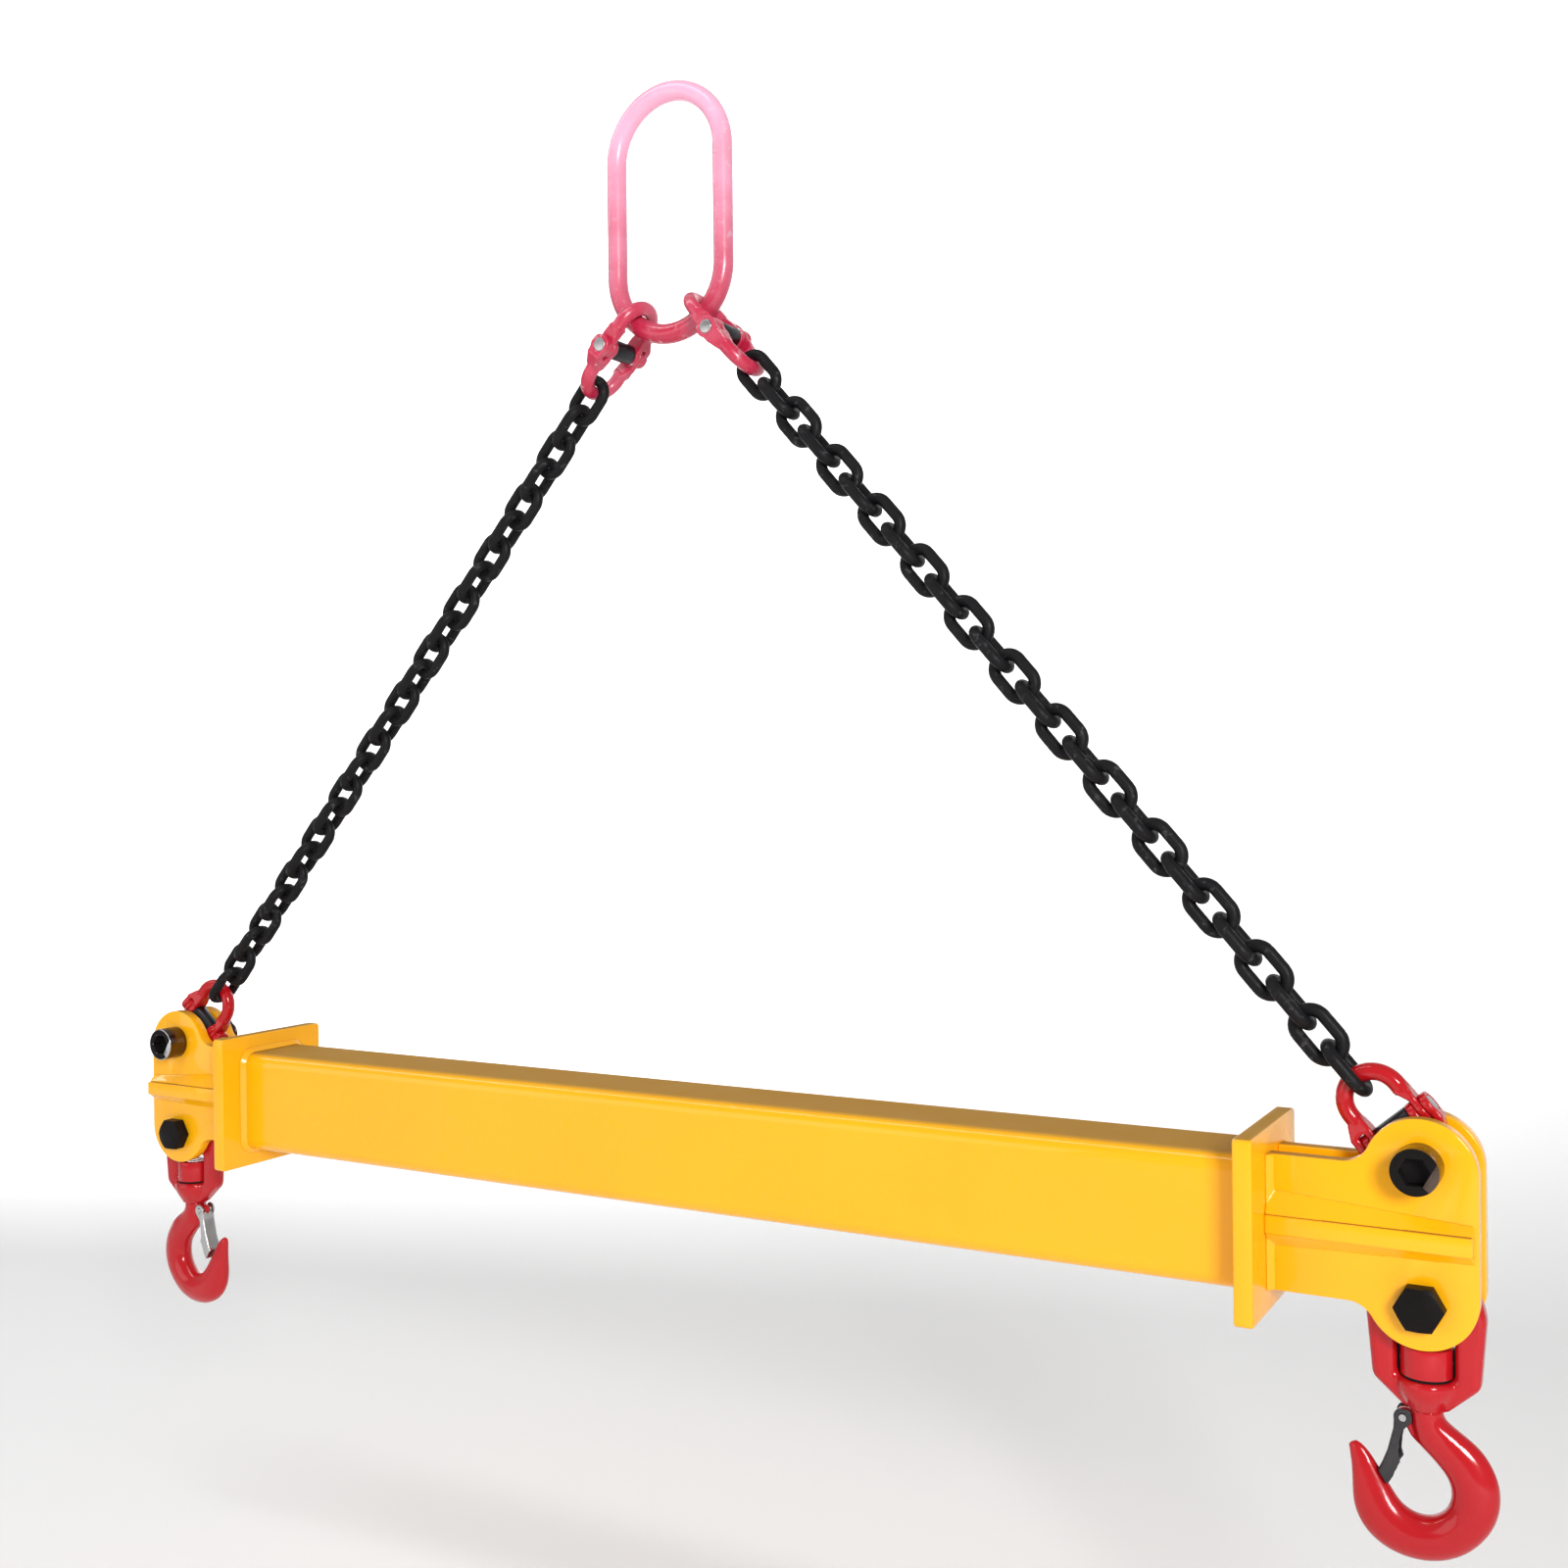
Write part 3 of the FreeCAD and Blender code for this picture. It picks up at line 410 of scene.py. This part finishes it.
def thread(node, centre, radius, low_y, high_y, pitch):
    """A screw thread round a bolt's end, as one closed ridge that climbs along Y."""
    around = 48
    rows_a_turn = 8
    ridge = 0.55 * pitch
    end_taper = 1.2 * MM
    rows = round((high_y - low_y) / pitch * rows_a_turn)
    work = bmesh.new()
    rings = []
    for row in range(rows + 1):
        y = low_y + (high_y - low_y) * row / rows
        taper = end_taper if row in (0, rows) else 0.0
        ring = []
        for step in range(around):
            turn = 2 * math.pi * step / around
            phase = ((y - low_y) / pitch + step / around) % 1.0
            reach = radius - ridge * abs(2 * phase - 1) - taper
            place = (centre.x + reach * math.cos(turn), y, centre.z + reach * math.sin(turn))
            ring.append(work.verts.new(place))
        rings.append(ring)
    skin(work, rings)
    bmesh.ops.recalc_face_normals(work, faces=work.faces)
    obj = object_from(work, node + "_thread")
    shade(obj, 40)
    dress(obj, node)


def finish_head(obj, centre, front_y, rim):
    """Black steel inside a screw's hexagon socket as painted shade, and the material `rim` on the face
    round it.
    """
    socket_radius = 10.6 * MM
    socket_depth = 13 * MM
    face_depth = 2 * MM
    obj.data.materials.append(MATERIALS["black_steel"])
    obj.data.materials.append(MATERIALS[rim])
    for face in obj.data.polygons:
        off = math.hypot(face.center.x - centre.x, face.center.z - centre.z)
        # Painted shade: the faces inside the socket are black.
        if off < socket_radius and face.center.y < front_y + socket_depth:
            face.material_index = 1
        elif face.normal.y < -0.5 and face.center.y < front_y + face_depth:
            face.material_index = 2


def gap_shade(side):
    """Dark slabs beside and a dark disc below a swivel nut, as painted shade in the gaps that it leaves
    towards its bail.
    """
    slab_thick = 1.7 * MM
    slab_deep = 6 * MM
    slab_off = 0.95 * MM
    disc_inset = 0.4 * MM
    disc_thick = 1.9 * MM
    disc_drop = 1 * MM
    low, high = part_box(f"{side}_swivel_nut")
    centre = (low + high) / 2
    radius = (high.x - low.x) / 2
    work = bmesh.new()
    for sign in (-1, 1):
        place = Matrix.Translation(centre + Vector((sign * (radius + slab_off), 0, 0)))
        measure = Matrix.Diagonal((slab_thick, slab_deep, high.z - low.z, 1))
        bmesh.ops.create_cube(work, size=1, matrix=place @ measure)
    below = Matrix.Translation((centre.x, centre.y, low.z - disc_drop))
    bmesh.ops.create_cone(work, cap_ends=True, segments=48, radius1=radius - disc_inset,
                          radius2=radius - disc_inset, depth=disc_thick, matrix=below)
    obj = object_from(work, f"{side}_bail_grease")
    obj.data.materials.append(MATERIALS["black_steel"])
    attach(obj, body_of(f"{side}_bail"))


def add_wire(work, points, radius, axis):
    """Add a round wire through points, closed at both ends. No stretch of it may run along `axis`."""
    around = 10
    turns = [2 * math.pi * step / around for step in range(around)]
    rings = []
    for index, point in enumerate(points):
        before = points[max(index - 1, 0)]
        after = points[min(index + 1, len(points) - 1)]
        along = (after - before).normalized()
        across = along.cross(axis).normalized()
        rise = across.cross(along)
        rings.append([work.verts.new(point + (across * math.cos(turn) + rise * math.sin(turn)) * radius)
                      for turn in turns])
    skin(work, rings)


def latch_spring(side):
    """A wound spring each side of the latch's boss.

    The coils stay on the hook, and the long legs open with the latch.
    """
    wire = 0.5 * MM
    coil = 3.2 * MM
    inner_end, outer_end = 3.6 * MM, 5.54 * MM
    short_leg, long_leg = 5.1 * MM, 24 * MM
    lean = 0.17
    start_angle, wound_angle = 90, 810
    steps = 54
    node = f"{side}_latch_spring"
    hinge = next(joint for joint in frame["record"]["behaviour"]["joints"]
                 if joint["name"] == f"{side}_latch_hinge")
    pivot, axis = Vector(hinge["pos_m"]), Vector(hinge["axis"])
    up = Vector((0, 0, 1))
    ahead = up.cross(axis)
    coils, legs = bmesh.new(), bmesh.new()
    for sign in (-1, 1):
        turns = [pivot + axis * sign * inner_end + up * coil + ahead * short_leg]
        for step in range(steps + 1):
            angle = math.radians(start_angle + wound_angle * step / steps)
            out = ahead * math.cos(angle) + up * math.sin(angle)
            along = inner_end + (outer_end - inner_end) * step / steps
            turns.append(pivot + axis * sign * along + out * coil)
        add_wire(coils, turns, wire, axis)
        tip = turns[-1] + (-lean * ahead - up).normalized() * long_leg
        add_wire(legs, [turns[-1], tip], wire, axis)
    for work, name, body in ((coils, f"{node}_coils", body_of(node)),
                             (legs, f"{node}_legs", body_of(f"{side}_latch"))):
        bmesh.ops.recalc_face_normals(work, faces=work.faces)
        obj = object_from(work, name)
        shade(obj, 50)
        dress(obj, node)
        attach(obj, body)
        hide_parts(node)


def fastener(node, nuts, radius, pitch, width):
    """A screw or bolt with rounded edges and a cut thread beyond its nut."""
    core_share = 0.8
    core_inside = 0.5 * MM
    thread_inside = 1.5 * MM
    tip_clear = 0.05 * MM
    low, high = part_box(node)
    centre = (low + high) / 2
    nut_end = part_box(nuts)[1].y
    obj = bevelled(node, width)
    narrow_beyond(obj, nut_end - core_inside, core_share, centre)
    thread(node, centre, radius, nut_end - thread_inside, high.y - tip_clear, pitch)
    return obj, centre, low.y


def make_connecting_link(side, row):
    for half in ("upper", "lower"):
        forged(f"{side}_{row}_lock_{half}_half", voxel=0.9 * MM, rounds=5)
    bevelled(f"{side}_{row}_lock_pin", width=0.7 * MM)
    bevelled(f"{side}_{row}_lock_sleeve", width=0.6 * MM)


def make_end_plates(side):
    for face in FACES:
        bevelled(f"{side}_{face}_cheek", width=1.2 * MM)
        bevelled(f"{side}_{face}_rib", width=1.6 * MM)
    bevelled(f"{side}_end_flange", width=1.6 * MM)


def make_hook(side):
    """The bail, the hook that turns in it, and the latch."""
    forged(f"{side}_bail", voxel=1.1 * MM, rounds=8)
    forged(f"{side}_hook", voxel=1.1 * MM, rounds=6)
    forged(f"{side}_latch", voxel=0.5 * MM, rounds=2)
    bevelled(f"{side}_swivel_nut", width=1.5 * MM)
    # Painted shade in the gaps round the swivel nut.
    gap_shade(side)
    latch_spring(side)


def make_fasteners(side):
    """The screw that carries the chain and the bolt that carries the hook."""
    screw = fastener(f"{side}_upper_screw", "screw_nuts", radius=11 * MM, pitch=2.5 * MM, width=1.1 * MM)
    # The left screw's face takes pale plated steel as a painted reflection; the right one keeps browned
    # steel.
    finish_head(*screw, "plated_steel" if side == "left" else "browned_steel")
    fastener(f"{side}_lower_bolt", "bolt_nuts", radius=10 * MM, pitch=2.5 * MM, width=0.5 * MM)


for node, obj in frame["nodes"].items():
    colour_in(obj, node)

for side in SIDES:
    make_connecting_link(side, "top")
    make_connecting_link(side, "low")
    make_end_plates(side)
    make_hook(side)
    make_fasteners(side)
for node in ("screw_nuts", "bolt_nuts", "screw_washers", "bolt_washers"):
    bevelled(node, width=0.6 * MM)
for node in ("tube_welds", "cheek_welds"):
    forged(node, voxel=0.8 * MM, rounds=6)


# ---------------------------------------------------------------- stage, lights and camera

def make_stage():
    """A pale floor that curves up into a backdrop."""
    look = Shader("stage", Roughness=0.9, Emission_Strength=0.05)
    look.surface.inputs["Emission Color"].default_value = (1, 1, 1, 1)
    look.colour(look.blend(look.noise(0.8), (0.86, 0.86, 0.86), (0.90, 0.90, 0.90)))
    drop = 0.25
    floor_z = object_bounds()[0][2] - drop
    front, back, top, half_width = -6.0, 4.0, 6.0, 9.0
    bend, steps = 1.5, 12
    profile = [(front, 0.0)]
    for step in range(steps + 1):
        angle = step * math.pi / (2 * steps)
        profile.append((back + bend * math.sin(angle), bend * (1 - math.cos(angle))))
    profile.append((back + bend, top))
    work = bmesh.new()
    rows = [[work.verts.new((x, y, floor_z + z)) for x in (-half_width, half_width)] for y, z in profile]
    for low, high in zip(rows, rows[1:]):
        work.faces.new((low[0], low[1], high[1], high[0]))
    obj = object_from(work, "stage")
    obj.data.materials.append(look.material)
    shade(obj)


def soft_light(name, place, target, size, power):
    """A rectangular white lamp that looks from `place` at `target`."""
    lamp = bpy.data.lights.new(name, "AREA")
    lamp.shape = "RECTANGLE"
    lamp.size, lamp.size_y = size
    lamp.energy = power
    obj = bpy.data.objects.new(name, lamp)
    obj.location = place
    obj.rotation_euler = (Vector(target) - Vector(place)).to_track_quat("-Z", "Y").to_euler()
    bpy.context.scene.collection.objects.link(obj)


def make_lights():
    """A key light, a fill from the front, a strip over the far end and a wash on the backdrop."""
    beam = (0, 0, -0.9)
    soft_light("key", (2.3, -2.4, 0.2), beam, size=(0.9, 0.9), power=84)
    soft_light("front", (-1.8, -2.7, -0.4), beam, size=(2.4, 1.6), power=17)
    soft_light("overhead", (-1.6, -0.6, 0.9), (-1.6, -0.3, -0.9), size=(3.6, 0.25), power=16)
    soft_light("backdrop", (-5.0, 0.6, 1.8), (-6.5, 5.5, 0.3), size=(9.0, 2.5), power=560)
    world = bpy.context.scene.world or bpy.data.worlds.new("studio")
    bpy.context.scene.world = world
    world.use_nodes = True
    background = world.node_tree.nodes["Background"]
    background.inputs["Color"].default_value = (1, 1, 1, 1)
    background.inputs["Strength"].default_value = 0.38


def make_camera():
    """The viewing angle: from the front, to the right of the middle, turned towards the far end."""
    camera = bpy.data.cameras.new("camera")
    camera.sensor_width = 36
    camera.lens = 38.23
    obj = bpy.data.objects.new("camera", camera)
    yaw, pitch, roll = math.radians(29.82), math.radians(-0.258), math.radians(0.691)
    turn = Matrix.Rotation(yaw, 4, "Z") @ Matrix.Rotation(pitch, 4, "X") @ Matrix.Rotation(roll, 4, "Y")
    face_y = Matrix.Rotation(math.radians(90), 4, "X")
    from_beam = Vector((0.8313, -1.2549, 0.3302))
    place = BEAM_CENTRE + from_beam
    obj.matrix_world = Matrix.Translation(place) @ turn @ face_y
    bpy.context.scene.collection.objects.link(obj)
    bpy.context.scene.camera = obj


make_stage()
make_lights()
make_camera()
bpy.context.scene.view_settings.view_transform = "Standard"
